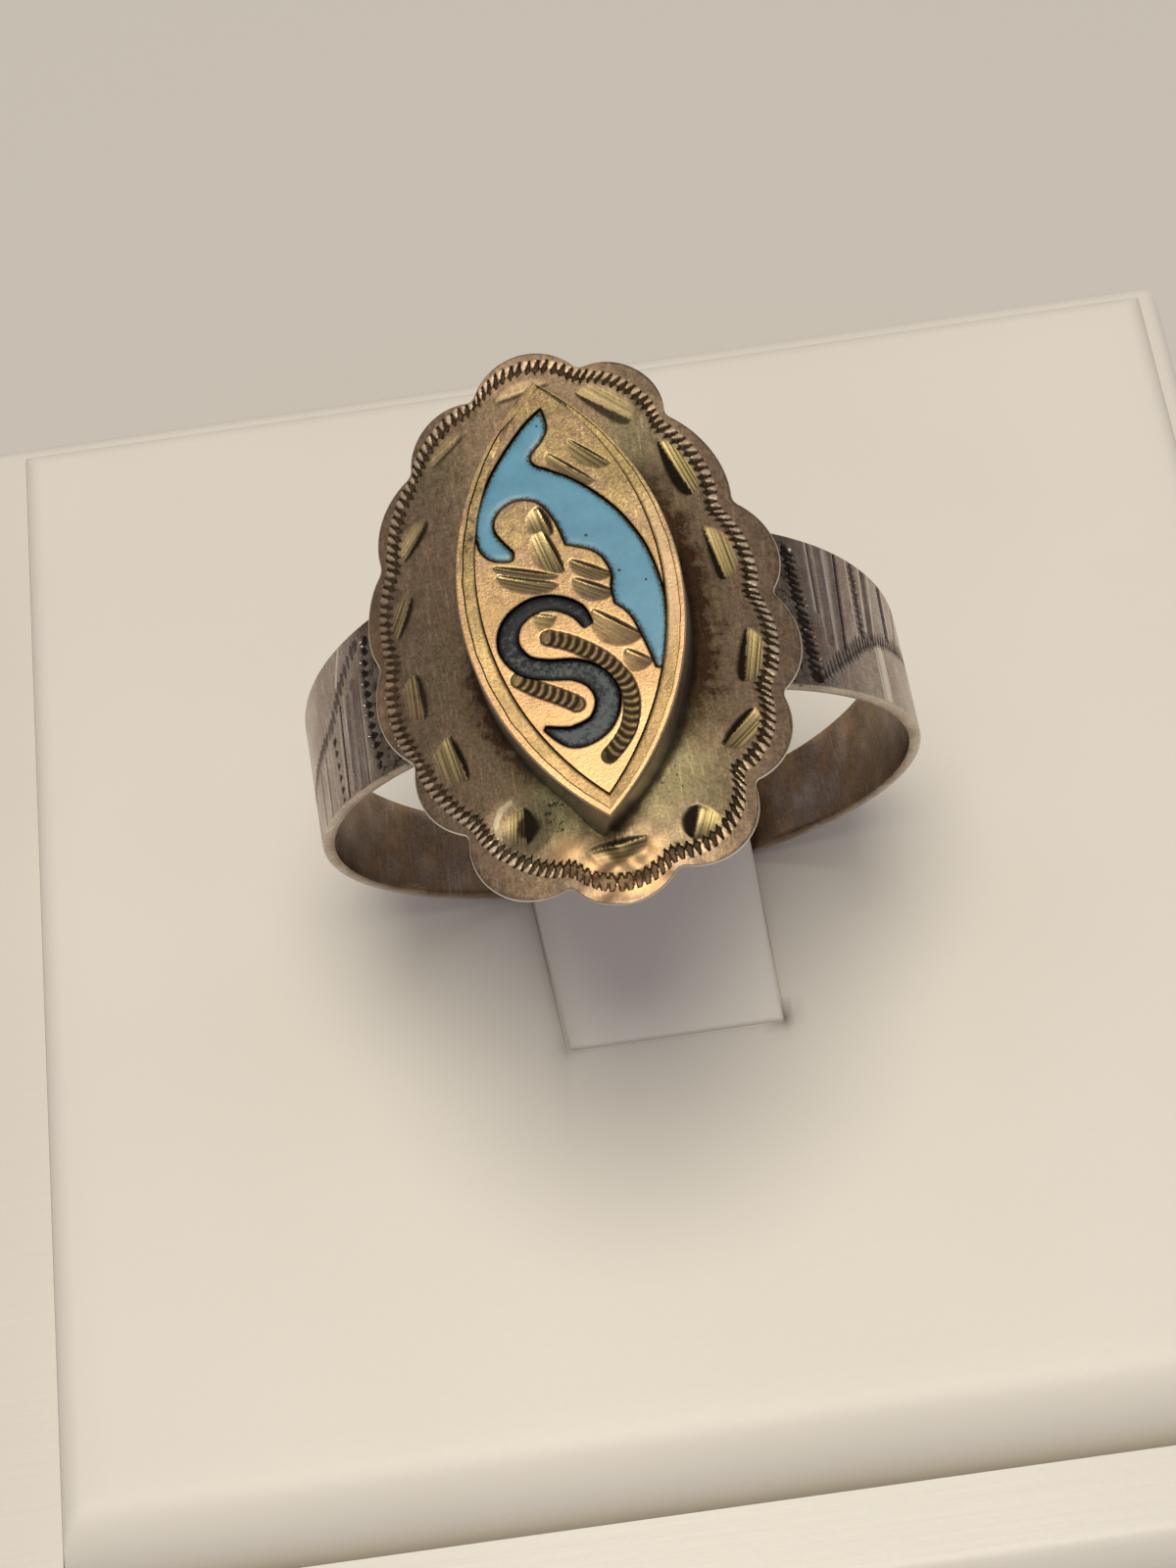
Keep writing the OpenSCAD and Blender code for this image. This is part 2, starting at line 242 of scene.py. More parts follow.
round_edge(1, BAND_R, -1, OUTER_TURNS, 0.0)
round_edge(1, BAND_R - BAND_T, 1, INNER_TURNS, 1.0)
columns += [(uncut + BAND_R - BAND_T, side * half_width, uncut, uncut, uncut, 1.0, 0.0)
            for side in np.linspace(0.8, -0.8, INSIDE_COLUMNS)]
round_edge(-1, BAND_R - BAND_T, 1, INNER_TURNS[::-1], 1.0)
round_edge(-1, BAND_R, -1, OUTER_TURNS[::-1], 0.0)
radius, band_across, band_dark, band_bright, band_lay = (
    np.stack([column[k] for column in columns], 1) for k in range(5))
inner, edge = (np.repeat([[column[k] for column in columns]], len(angles), 0) for k in (5, 6))
turn = np.radians(angles)[:, None]
band_points = np.stack([radius * np.sin(turn), band_across, radius * np.cos(turn)], -1)


def linear(colour):
    """The linear colour of an sRGB hex value."""
    parts = [int(colour[i:i + 2], 16) / 255 for i in (1, 3, 5)]
    return (*[c / 12.92 if c <= 0.04045 else ((c + 0.055) / 1.055) ** 2.4 for c in parts], 1)


def add(tree, kind, inputs=None, stops=(), out=0, **settings):
    """Adds a node and gives one of its outputs. An input is a value, a hex colour or the output that feeds
    it. The stops are a ramp's, each a place and a grey level or hex colour."""
    made = tree.nodes.new("ShaderNode" + kind)
    for name, value in settings.items():
        setattr(made, name, value)
    for name, value in (inputs or {}).items():
        if isinstance(value, bpy.types.NodeSocket):
            tree.links.new(value, made.inputs[name])
        else:
            made.inputs[name].default_value = linear(value) if isinstance(value, str) else value
    for i, (place, tone) in enumerate(stops):
        made.color_ramp.elements[i].position = place
        made.color_ramp.elements[i].color = linear(tone) if isinstance(tone, str) else (tone, tone, tone, 1)
    return made.outputs[out] if len(made.outputs) else made


def new_finish(name):
    """An empty material, its nodes, and the place on the object for its patterns."""
    made = bpy.data.materials.new(name)
    made.use_nodes = True
    made.node_tree.nodes.clear()
    return made, made.node_tree, add(made.node_tree, "TexCoord", out="Object")


def open_pits(tree, place, apart, least, spread):
    """Small round pits at that distance in mm, of which few are open."""
    pits = add(tree, "TexVoronoi", {"Vector": place, "Scale": 1 / (apart * MM)})
    size = add(tree, "Math", {0: pits.node.outputs["Color"], 1: spread, 2: least}, operation="MULTIPLY_ADD")
    return add(tree, "Math", {0: pits, 1: size}, operation="LESS_THAN")


# Sockets of a Mix node that mixes colours
MIX_A, MIX_B, MIX_OUT = 6, 7, 2


def surfaced(made, colour, coats, relief, strength, height, inputs):
    """The finish with its coats, laid in turn over its ground colour, its fine relief, of that height in mm,
    and its shader. A coat is how it blends, its share and its colour."""
    tree = made.node_tree
    for way, share, coat in coats:
        colour = add(tree, "Mix", {0: share, MIX_A: colour, MIX_B: coat}, out=MIX_OUT, data_type="RGBA",
                     blend_type=way)
    bump = add(tree, "Bump", {"Height": relief, "Strength": strength, "Distance": height * MM})
    shader = add(tree, "BsdfPrincipled", {"Base Color": colour, "Normal": bump, **inputs})
    add(tree, "OutputMaterial", {"Surface": shader})
    return made


MARKS = ("cut", "bright", "lay", "edge", "lip", "stain_and_shade", "green", "gold_and_glint")


def worn_gilding(name, plain, warm, stain_and_shade, fresh, furrow, oxide, green, rough):
    """Gilt silver, rubbed and tarnished: satin metal, cloudy in tone, dark in the cuts, light on new facets.
    Its marks are cut (also painted contact shade), bright (new facet, and painted highlight lines), lay (mm
    across its lines), edge (pale silver: painted highlights, and the plaque's silver wall), lip, a stain mark
    (stain, and painted shade), green, and a gold mark (gold tints and painted glints)."""
    made, tree, place = new_finish(name)
    marks = {mark: add(tree, "Attribute", out="Fac", attribute_name=mark) for mark in MARKS}
    # Tarnish clouds of about 1.2 mm, mottling of 0.3 mm and grain of 0.09 mm
    cloud, mottle, grain = [
        add(tree, "TexNoise", {
            "Vector": place, "Scale": 1 / (size * MM), "Detail": detail, "Roughness": harsh})
        for size, detail, harsh in ((1.2, 5.0, 0.65), (0.3, 4.0, 0.7), (0.09, 3.0, 0.7))]
    # Two ways of hairline scratches, 0.1 mm apart
    one_way, other_way = [
        add(tree, "TexNoise", {
            "Vector": add(tree, "Mapping", {
                "Vector": place, "Rotation": (0, 0, angle), "Scale": (1, 0.05, 1)}),
            "Scale": 1 / (0.1 * MM), "Detail": 2.0})
        for angle in (0.5, -0.9)]
    scratches = add(tree, "Math", {0: one_way, 1: other_way}, operation="MAXIMUM")
    cloudy = add(tree, "ValToRGB", {"Fac": cloud}, [(0.38, 0), (0.62, 1)])
    warmth = add(tree, "Math", {0: cloudy, 1: marks["lip"]}, operation="MAXIMUM")
    # Graver lines along each facet, about 0.1 mm apart
    lines = add(tree, "TexNoise", {"W": marks["lay"], "Scale": 11.0, "Detail": 3.0, "Roughness": 0.6},
                noise_dimensions="1D")
    lined = add(tree, "ValToRGB", {"Fac": lines}, [(0.4, 0), (0.6, 1)])
    facets = add(tree, "Mix", {0: lined, MIX_A: furrow, MIX_B: fresh}, out=MIX_OUT, data_type="RGBA")
    # Patterns added up, each times its share: stain with painted shade, crust, painted gold glint, dullness
    # and relief
    sums = []
    for total, parts in (
            (-0.45, [(mottle, 0.9), (cloud, 0.7), (marks["stain_and_shade"], 1.0)]),
            (-0.3, [(mottle, 2.2)]), (0.15, [(mottle, 1.6)]),
            (rough - 0.1, [(cloud, 0.2), (marks["cut"], 0.25)]),
            (grain, [(scratches, 0.3), (lines, marks["bright"])])):
        for pattern, share in parts:
            total = add(tree, "Math", {0: pattern, 1: share, 2: total}, operation="MULTIPLY_ADD")
        sums.append(total)
    torn, crust, gleam, dull, relief = sums
    stained = add(tree, "ValToRGB", {"Fac": torn}, [(0.55, 0), (1.0, 1)])
    crust, gleam = [
        add(tree, "Math", {0: pattern, 1: mark}, operation="MULTIPLY", use_clamp=True)
        for pattern, mark in ((crust, marks["green"]), (gleam, marks["gold_and_glint"]))]
    pitted = open_pits(tree, place, 0.9, -0.16, 0.24)
    sooty = add(tree, "Math", {0: pitted, 1: marks["cut"]}, operation="MAXIMUM")
    # Black specks in the crust
    specks = add(tree, "Math", {0: grain, 1: crust}, operation="MULTIPLY")
    specks = add(tree, "ValToRGB", {"Fac": specks}, [(0.34, 0), (0.46, 0.9)])
    tones = [
        ("MULTIPLY", 1.0, add(tree, "ValToRGB", {"Fac": pattern}, stops)) for pattern, stops in (
            (mottle, [(0.3, 0.7), (0.7, 1.25)]), (grain, [(0.3, 0.68), (0.7, 1.3)]),
            (scratches, [(0.57, 0.94), (0.76, 1.4)]))]
    # The gold mark lays gold tints and painted gold glints, and the edge mark lays painted pale highlights
    coats = [
        ("MIX", warmth, warm), ("MIX", stained, stain_and_shade), ("MIX", crust, green), *tones, ("MIX", gleam, GOLD),
        ("MIX", marks["bright"], facets), ("MIX", marks["edge"], SILVER_HIGHLIGHT), ("MIX", sooty, oxide),
        ("MIX", specks, oxide)]
    return surfaced(made, plain, coats, relief, 0.4, 0.012, {"Metallic": 1.0, "Roughness": dull})


# Gold of the tints and painted glints, and pale silver of the painted edge highlights and the plaque's wall
GOLD, SILVER_HIGHLIGHT = "#B8936A", "#F6EFDF"
# Worn-through silver, warm grey and fairly shiny, with brown where fingers never rub it
shank_metal = worn_gilding(
    "worn_silver_band", plain="#B8ABA0", warm="#A69186", stain_and_shade="#8C7660", fresh="#F8F3E8", furrow="#D2C9B8",
    oxide="#262020", green="#6A5C42", rough=0.28)
# The band is painted dark green under the plate's rim, which ends 42 degrees from the top: painted shade,
# with green tarnish
shaded = limited(1 - (np.abs(theta[:, :1]) - 42) / 6)
round_it = np.broadcast_to(theta[:, :1] * ARC_MM, band_across.shape)
# The edge mark paints a pale highlight on the band's rounded edges
shank = make_piece(
    "shank", on_the_pad(band_points), grid_faces(*radius.shape, True, True), shank_metal,
    {"cut": band_dark * 0.92, "bright": band_bright, "lay": band_lay, "edge": edge * 0.3,
     "stain_and_shade": inner * (0.62 + 0.3 * ripple(round_it, band_across, 1.5, 12)),
     "green": shaded * 0.8 * (1 - inner),
     "gold_and_glint": inner * np.clip(ripple(round_it, band_across, 1.1, 13) - 0.1, 0, 0.5)})
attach(shank, "root")
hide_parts("ring_metal")

# Scalloped plate
# Sheet cut into 14 lobes, bent a little about the finger and soldered over the band. A wriggle line follows
# the lobes, and inside it each lobe has one bright cut. Tarnish has gathered round the plaque.
PLATE_CROWN, PLATE_BEND_R = 10.0, 14.0
# Lobes, clockwise from the one at the far point: notch, bulge, how far in the wriggle line lies at the notch
# and how much further at the middle of the lobe, and how strongly its facets are painted as highlights
LOBES = [
    ((-1.80, 7.58), 1.02, 0.19, 0.24, 0.7), ((1.47, 7.92), 0.92, 0.30, 0.36, 0.3),
    ((3.72, 6.06), 0.50, 0.46, 0.05, 0.3), ((5.15, 3.00), 0.72, 0.69, 0.34, 0.8),
    ((5.73, -0.01), 0.70, 0.68, 0.24, 0.9), ((5.40, -3.23), 0.65, 0.61, 0.15, 0.7),
    ((4.07, -5.91), 1.00, 0.59, 0.22, 0.5), ((1.58, -8.11), 0.85, 0.42, 0.14, 0.3),
    ((-1.47, -8.12), 1.10, 0.56, 0.59, 0.6), ((-4.07, -5.80), 0.58, 0.42, 0.33, 1.0),
    ((-5.32, -3.14), 0.60, 0.19, 0.22, 0.7), ((-5.90, 0.19), 0.50, 0.45, 0.20, 0.4),
    ((-5.38, 3.17), 0.52, 0.42, 0.24, 0.5), ((-4.01, 5.83), 0.70, 0.20, 0.32, 0.8),
]
# Bright cut of each lobe in the same order: both ends of its deepest line, broad and steep facet, depth, how
# the steep one widens towards the end, and how bright it is
LEAF_CUTS = [
    ((-1.08, 7.36), (0.50, 7.61), 0.38, 0.12, 0.04, 0.0, 0.2),
    ((1.28, 7.11), (2.73, 5.98), 0.70, 0.28, 0.05, 0.6, 0.5),
    ((3.40, 5.16), (4.07, 3.32), 0.60, 0.36, 0.08, 0.5, 1.0),
    ((4.14, 2.20), (4.49, 0.47), 0.68, 0.15, 0.09, 0.9, 1.0),
    ((4.78, -1.15), (4.42, -2.83), 0.66, 0.22, 0.10, 0.6, 1.0),
    ((4.51, -3.67), (3.45, -4.73), 0.66, 0.17, 0.10, 0.0, 0.9),
    ((2.44, -6.45), (2.12, -7.40), 0.78, 0.42, 0.12, 0.0, 0.75),
    ((0.85, -7.10), (-0.75, -7.24), 0.80, 0.14, 0.08, 0.5, 0.5),
    ((-2.50, -6.55), (-2.42, -5.45), 0.72, 0.36, 0.05, 0.0, 0.75),
    ((-3.83, -4.17), (-4.18, -2.68), 0.85, 0.18, 0.09, 0.0, 0.7),
    ((-4.80, -1.92), (-4.88, -0.40), 0.62, 0.20, 0.09, 0.0, 0.6),
    ((-5.22, 0.85), (-4.65, 2.01), 0.55, 0.20, 0.09, 0.3, 0.6),
    ((-4.68, 3.19), (-3.79, 4.21), 0.50, 0.20, 0.09, 0.3, 0.6),
    ((-3.31, 5.85), (-2.24, 6.59), 0.45, 0.08, 0.05, 0.0, 0.3),
]
# Length of one wriggle stroke in mm, and mesh steps along it
STROKE, STEPS = 0.29, 7
WRIGGLE_HALF = 0.25


def arc_between(a, b, bulge, share):
    """Points at shares of an arc from a to b that stands out to the left by bulge, and the arc's length."""
    a, b = np.array(a, float), np.array(b, float)
    chord = np.hypot(*(b - a))
    along = (b - a) / chord
    out = np.array((-along[1], along[0])) * np.sign(bulge)
    r = (chord**2 / 4 + bulge**2) / (2 * abs(bulge))
    half = math.asin(chord / 2 / r)
    turn = half * (2 * np.asarray(share) - 1)[:, None]
    middle = (a + b) / 2 + out * (abs(bulge) - r)
    return middle + r * (np.cos(turn) * out + np.sin(turn) * along), 2 * half * r


rim, strokes, reach, shine = [], [], [], []
for lobe, after in zip(LOBES, LOBES[1:] + LOBES[:1]):
    _, length = arc_between(lobe[0], after[0], lobe[1], [0])
    count = round(length / STROKE)
    share = np.arange(count * STEPS) / (count * STEPS)
    rim.append(arc_between(lobe[0], after[0], lobe[1], share)[0])
    strokes.append(share * count)
    reach.append(lobe[2] + (after[2] - lobe[2]) * share + lobe[3] * np.sin(share * np.pi))
    shine.append(lobe[4] + (after[4] - lobe[4]) * share)
rim, strokes, reach, shine = map(np.concatenate, (rim, strokes, reach, shine))
wriggle_half = np.clip(reach - 0.07, 0.12, WRIGGLE_HALF)
# The file has rounded the bottom of each notch, over this many mesh steps on both sides
NOTCH_STEPS = 5
rim = sum(np.roll(rim, step, 0) for step in range(-NOTCH_STEPS, NOTCH_STEPS + 1)) / (2 * NOTCH_STEPS + 1)
# The rows run in from the rim, by these shares of the way to the middle, to a line that the plaque covers
WAY_IN = (0.57, 0.36)
inward = -rim * WAY_IN
full = np.hypot(*inward.T)
inward /= full[:, None]

# Each row's mm in from the rim and its height against the top: underside, rounded edge, wriggle line, field
plate_rows = [(full, -0.40), (full * 0.5, -0.40), (0.5, -0.34), (0.2, -0.24), (0.06, -0.17), (0.01, -0.11),
              (0.0, -0.06), (0.01, -0.02), (0.04, 0.0)]
edge_rows = len(plate_rows)
plate_rows += [(0.04 + (reach - wriggle_half - 0.05) * part, 0.0) for part in np.linspace(0, 1, 7)[1:]]
plate_rows += [(reach + part * wriggle_half, 0.0) for part in np.linspace(-1, 1, 17)]
# Closer rows where the bright cuts lie, and wider ones from there to the plaque
plate_rows += [(reach + wriggle_half + (full - reach - wriggle_half) * part, 0.0)
               for part in (*np.linspace(0, 0.72, 37)[1:], *np.linspace(0.72, 1, 10)[1:])]
inset = np.stack([np.broadcast_to(row[0], full.shape) for row in plate_rows])
plate_xy = rim[None] + inward[None] * inset[:, :, None]
x, y = plate_xy[..., 0], plate_xy[..., 1]
top = np.arange(len(plate_rows))[:, None] >= edge_rows - 2


def bright_cut(x, y, start, end, broad, steep, depth, widening):
    """One cut of a flat graver, deepest on the line from start to end, with its broad facet on the left.
    The steep facet may widen towards the end. Gives the depth at each point, the shares of the broad and the
    steep facet, and the mm across its lines."""
    run = np.subtract(end, start)
    length = np.hypot(*run)
    along = ((x - start[0]) * run[0] + (y - start[1]) * run[1]) / length**2
    side = ((y - start[1]) * run[0] - (x - start[0]) * run[1]) / length
    swell = np.clip(1 - np.abs(2 * along - 1) ** 1.8, 1e-6, 1) ** 0.5
    steep_here = steep * swell ** (1 - 0.8 * widening) * np.clip(1 + widening * (2 * along - 1), 0.05, 2)
    slope = np.where(side >= 0, 1 - side / (broad * swell), 1 + side / steep_here)
    slope = np.where((along > 0) & (along < 1), limited(slope), 0)
    on_broad = (side >= 0) * limited(slope * 2.4)
    on_steep = (side < 0) * limited(slope * 5)
    return depth * swell * slope, on_broad, on_steep, side + 0.1 * along


def bright_cuts(x, y, cuts, lay_step):
    """Several bright cuts together: depth, broad facets, steep facets and mm across their lines. A cut's last
    number is how bright it is. The step keeps the lines of one cut apart from those of the next."""
    deepest, bright, dark, lay = (np.zeros(x.shape) for _ in range(4))
    for index, (*cut, shown) in enumerate(cuts):
        deep, on_broad, on_steep, over = bright_cut(x, y, *cut)
        deepest = np.maximum(deepest, deep)
        bright = np.maximum(bright, on_broad * shown)
        dark = np.maximum(dark, on_steep * min(1, 1.5 * shown))
        lay = np.where(deep > 0, over + index * lay_step, lay)
    return deepest, bright, dark, lay


def near(x, y, at, size):
    """Soft spot, 1 at its middle, that fades over the given size in mm."""
    return np.exp(-(((x - at[0]) / size[0]) ** 2 + ((y - at[1]) / size[1]) ** 2))


def spots(x, y, table):
    """Soft spots added up. Each has its middle, its size and its strength."""
    return sum(strength * near(x, y, at, size) for at, size, strength in table)


across = (reach - inset) / wriggle_half
# The near lobe is buckled, and its wriggle line has worn to a brown zigzag
buckled = near(x, y, (-0.2, -8.0), (2.0, 1.0))
wriggled, facets = wriggle(
    np.broadcast_to(strokes, inset.shape), across, 0.35 - 0.3 * buckled, 0.45 * buckled)
plate_deep, plate_bright, plate_dark, plate_lay = bright_cuts(x, y, LEAF_CUTS, 1.7)
plate_bright *= limited((-across - 0.8) * 5)

# The cut of the near left lobe lies in a round hollow, black on its right, with a bright lip on its left
HOLLOW_AT, SOOT_AT = (-2.60, -5.95), (-2.36, -6.03)
HOLLOW_LIP = [(-2.78, -5.22), (-3.08, -5.36), (-3.27, -5.68), (-3.24, -6.15)]
hollow = limited(near(x, y, HOLLOW_AT, (0.85, 0.75)) - 0.2)
plate_deep = np.maximum(plate_deep + 0.14 * hollow, 0.09 * wriggled) * top
sooty = 3.2 * near(x, y, SOOT_AT, (0.40, 0.44)) - 1.0 + 0.45 * ripple(x, y, 0.28, 9)
plate_dark = np.maximum(plate_dark, np.clip(sooty, 0, 0.95))
hollow_lip = limited((1.2 - np.abs(beside_path(x, y, HOLLOW_LIP)[1]) / 0.09) * 2)
hollow_lip *= 0.75 + 0.6 * ripple(x, y, 0.3, 14)

# Dents: the near lobe is buckled, the left lobe's rim is bent down, and the sheet is uneven all over
dents = 0.030 * ripple(x, y, 3.2, 1) + 0.12 * near(x, y, (0.0, -7.8), (1.5, 0.9)) * ripple(x, y, 0.8, 2)
dents -= 0.30 * near(x, y, (-6.15, 1.6), (0.55, 1.1)) + 0.12 * near(x, y, (-5.9, -1.5), (0.4, 1.0))
plate_z = PLATE_CROWN - PLATE_BEND_R + np.sqrt(PLATE_BEND_R**2 - x**2) + dents
# The sheet lies a little lower than the solid, so that no dent stands above it
SHEET_LOWER = 0.03
plate_z += np.array([row[1] for row in plate_rows])[:, None] - plate_deep - SHEET_LOWER

# Tarnish by distance from the plaque's wall, strongest on the right and at the near left
LENS_X, LENS_R, LENS_HALF = 0.13, 9.13, 3.21
off_lens = np.hypot(np.abs(x - LENS_X) + LENS_R - LENS_HALF, y) - LENS_R
one_sided = np.where(x > 0, 1.0 - 0.55 * limited(np.abs(y) - 4.0), np.clip(0.62 - y / 9, 0.2, 0.9))
plate_stain = np.exp(-np.clip(off_lens, 0, 9) / 0.85) * one_sided
# The corner along the wall's foot is painted black as a contact shadow, but for the near point
corner = 0.85 - off_lens / 0.2 - 0.6 * limited(-4.8 - y)
plate_dark = np.maximum(plate_dark, np.clip(corner + 0.4 * ripple(x, y, 0.5, 15), 0, 0.75))
# Spots of green crust, and of gold that is still bright, painted lighter as gold glints
CRUST = [
    ((2.6, 5.4), (0.9, 1.3), 0.7), ((1.8, -5.5), (1.5, 1.5), 0.75), ((-1.6, -5.9), (1.1, 1.2), 0.9),
    ((-3.2, 5.6), (1.2, 1.2), 0.2),
]
RUBBED_GLINTS = [
    ((0.45, -8.50), (1.0, 0.25), 1.0), ((-0.65, -7.65), (0.40, 0.28), 0.9),
    ((0.93, -7.46), (0.28, 0.35), 0.8), ((0.25, -7.85), (0.6, 0.3), 0.7),
    ((-1.40, -7.05), (0.45, 0.30), 0.8), ((-0.9, 8.0), (0.9, 0.35), 0.15), ((-6.1, 1.0), (0.6, 3.0), 0.3),
]
plate_green, plate_glint = limited(spots(x, y, CRUST)), limited(spots(x, y, RUBBED_GLINTS))
plate_bright = np.maximum(plate_bright, hollow_lip)
row_number = np.arange(len(plate_rows))[:, None]
# The outermost rows are painted pale as an edge highlight, where the gilding has also worn off
FIRST_HIGHLIT_ROW = 5
plate_edge_highlight = (row_number >= FIRST_HIGHLIT_ROW) * (row_number < edge_rows - 1)
# The wriggle's facets are painted pale as highlights, by each lobe's share
facet_highlights = facets * shine * (1 - wriggled) * top * 0.6
plate_metal = worn_gilding(
    "tarnished_gilt_plate", plain="#86745A", warm="#8F7862", stain_and_shade="#38281C", fresh="#B4A270",
    furrow="#54472D", oxide="#1A1411", green="#7A7657", rough=0.42)
# The wriggle's cuts are painted darker towards the right as shade; the edge mark paints pale highlights on
# the outer rows, the wriggle's facets and the hollow's lip
plate = make_piece(
    "scalloped_plate", on_the_pad(np.stack([x, y, plate_z], -1)), grid_faces(*x.shape, True, True),
    plate_metal,
    {"cut": np.maximum(wriggled * (0.74 + 0.02 * x - 0.3 * buckled), plate_dark * 0.92) * top,
     "bright": plate_bright * top * 0.95, "lay": plate_lay,
     "edge": np.maximum((1 - 0.9 * buckled) * np.maximum(plate_edge_highlight * 0.85, facet_highlights), 0.25 * hollow_lip),
     "lip": limited((reach - inset) / 0.2) * 0.9, "stain_and_shade": plate_stain, "green": plate_green,
     "gold_and_glint": np.maximum(plate_glint, facets * top)})
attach(plate, "root")
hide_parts("ring_metal")

# Pointed plaque
# A thick navette soldered on the plate: silver wall, gilt top. A narrow rim and a sloping border strip run
# round the field, which has pockets for the enamel, bright cuts and two rope-like lines of rocked strokes.
PLAQUE_TOP = 11.35
CURVE_STEPS = 8
BLUE = [
    [(0.22, 6.00), (0.27, 5.40), (0.07, 5.00), (-0.33, 4.58), (-0.28, 4.25), (0.10, 4.00), (0.80, 3.50),
     (1.60, 2.62), (2.10, 1.80), (2.48, 0.80), (2.66, -0.45), (2.60, -1.50), (2.30, -2.65)],
    [(2.30, -2.65), (2.20, -2.78), (2.08, -2.74)],
    [(2.08, -2.74), (1.93, -2.00), (1.66, -1.05), (1.28, -0.55)],
    [(1.28, -0.55), (1.27, -0.10), (1.34, 0.45), (1.02, 1.14), (0.22, 1.56)],
    [(0.22, 1.56), (0.04, 2.35), (-0.35, 3.05), (-1.00, 3.26), (-1.57, 2.96), (-1.74, 2.40), (-1.31, 1.62)],
    [(-1.31, 1.62), (-1.42, 1.40), (-1.95, 1.55), (-2.24, 2.05), (-2.15, 3.00), (-1.46, 4.30), (-0.43, 5.50),
     (0.22, 6.00)],
]
# Middle line of the scroll and its half width
SCROLL = [
    (0.41, -1.06, 0.13), (0.16, -0.55, 0.20), (-0.45, -0.18, 0.20), (-1.10, -0.18, 0.22),
    (-1.70, -0.58, 0.25), (-1.90, -1.25, 0.28), (-1.58, -1.88, 0.28), (-0.95, -2.18, 0.28),
    (-0.15, -2.36, 0.30), (0.40, -2.78, 0.32), (0.58, -3.45, 0.33), (0.22, -4.12, 0.32),
    (-0.55, -4.34, 0.30), (-1.28, -3.94, 0.05),
]
# Bright cuts of the field: both ends of the deepest line, broad and steep facet, depth
FIELD_CUTS = [
    ((1.36, 3.36), (0.16, 4.56), 0.55, 0.05, 0.07), ((1.90, 3.80), (0.86, 4.84), 0.46, 0.05, 0.06),
    ((-0.12, 1.95), (-0.40, 2.90), 0.55, 0.16, 0.09), ((0.02, 0.72), (-0.40, 2.20), 0.66, 0.12, 0.10),
    ((-0.16, 0.62), (-1.98, 1.32), 0.26, 0.07, 0.08), ((-0.20, 0.36), (-1.90, 1.02), 0.44, 0.06, 0.08),
    ((1.32, 0.34), (0.24, 1.04), 0.40, 0.09, 0.08), ((1.30, -0.22), (0.22, 0.46), 0.50, 0.09, 0.08),
    ((1.86, -1.72), (0.60, -0.62), 0.72, 0.08, 0.09), ((2.00, -2.55), (1.30, -2.02), 0.55, 0.06, 0.07),
    ((-0.42, -0.62), (-1.05, -0.42), 0.50, 0.04, 0.04),
]
ROPES = [
    [(-0.75, -1.22), (-0.28, -1.45), (0.10, -1.71), (0.57, -2.11), (0.92, -2.57), (1.15, -3.03),
     (1.21, -3.62), (1.04, -4.28), (0.69, -4.77), (0.19, -5.20)],
    [(-1.77, -2.31), (-1.34, -2.67), (-0.86, -2.98), (-0.48, -3.24), (-0.25, -3.44)],
]
ROPE_HALF, ROPE_PITCH, ROPE_DEPTH = 0.25, 0.235, 0.06


def smooth_curve(points, steps):
    """Catmull-Rom curve through the points, without the last one, as the solid's outline has it."""
    p = np.array(points, float)
    t = (np.arange(steps) / steps)[:, None]
    parts = []
    for i in range(len(p) - 1):
        a, b, c, d = p[max(i - 1, 0)], p[i], p[i + 1], p[min(i + 2, len(p) - 1)]
        bend, twist = 2 * a - 5 * b + 4 * c - d, 3 * b - a - 3 * c + d
        parts.append(0.5 * (2 * b + (c - a) * t + bend * t**2 + twist * t**3))
    return np.concatenate(parts)


def left_of(steps):
    """Unit vectors to the left of the steps of a line."""
    along = steps / np.hypot(*steps.T)[:, None]
    return np.stack([-along[:, 1], along[:, 0]], -1)


def widened(outline, extra):
    """A clockwise closed outline, moved outwards."""
    return outline + extra * left_of(np.roll(outline, -1, 0) - np.roll(outline, 1, 0))


def scroll_outline():
    """The scroll's outline, clockwise: one side forwards and the other one back."""
    line = np.concatenate([smooth_curve(SCROLL, CURVE_STEPS), [SCROLL[-1]]])
    side = left_of(np.gradient(line[:, :2], axis=0)) * line[:, 2:]
    return np.concatenate([line[:, :2] + side, (line[:, :2] - side)[::-1]])


def from_outline(points, outline):
    """Distance of each point from a closed outline, below 0 inside, and the nearest place on it."""
    a, b = outline, np.roll(outline, -1, 0)
    run = b - a
    distance, nearest, crossings = [], [], []
    for some in np.array_split(points, max(1, len(points) // 4000)):
        off = some[:, None] - a
        share = limited((off * run).sum(-1) / (run**2).sum(-1))
        foot = a + share[..., None] * run
        away = np.hypot(*np.moveaxis(some[:, None] - foot, -1, 0))
        pick = away.argmin(1)
        distance.append(away[np.arange(len(some)), pick])
        nearest.append(foot[np.arange(len(some)), pick])
        spans = (a[:, 1] > some[:, 1:]) != (b[:, 1] > some[:, 1:])
        with np.errstate(divide="ignore", invalid="ignore"):
            cross_x = a[:, 0] + (some[:, 1:] - a[:, 1]) * run[:, 0] / run[:, 1]
        crossings.append((spans & (some[:, :1] < cross_x)).sum(1))
    distance, nearest, crossings = map(np.concatenate, (distance, nearest, crossings))
    return np.where(crossings % 2 == 1, -distance, distance), nearest


blue_outline = np.concatenate([smooth_curve(part, CURVE_STEPS) for part in BLUE])
grey_outline = scroll_outline()
ENAMEL_GAP = 0.045
pockets = [widened(blue_outline, ENAMEL_GAP), widened(grey_outline, ENAMEL_GAP)]

LENGTHS = 400
share = np.linspace(0, 1, LENGTHS)
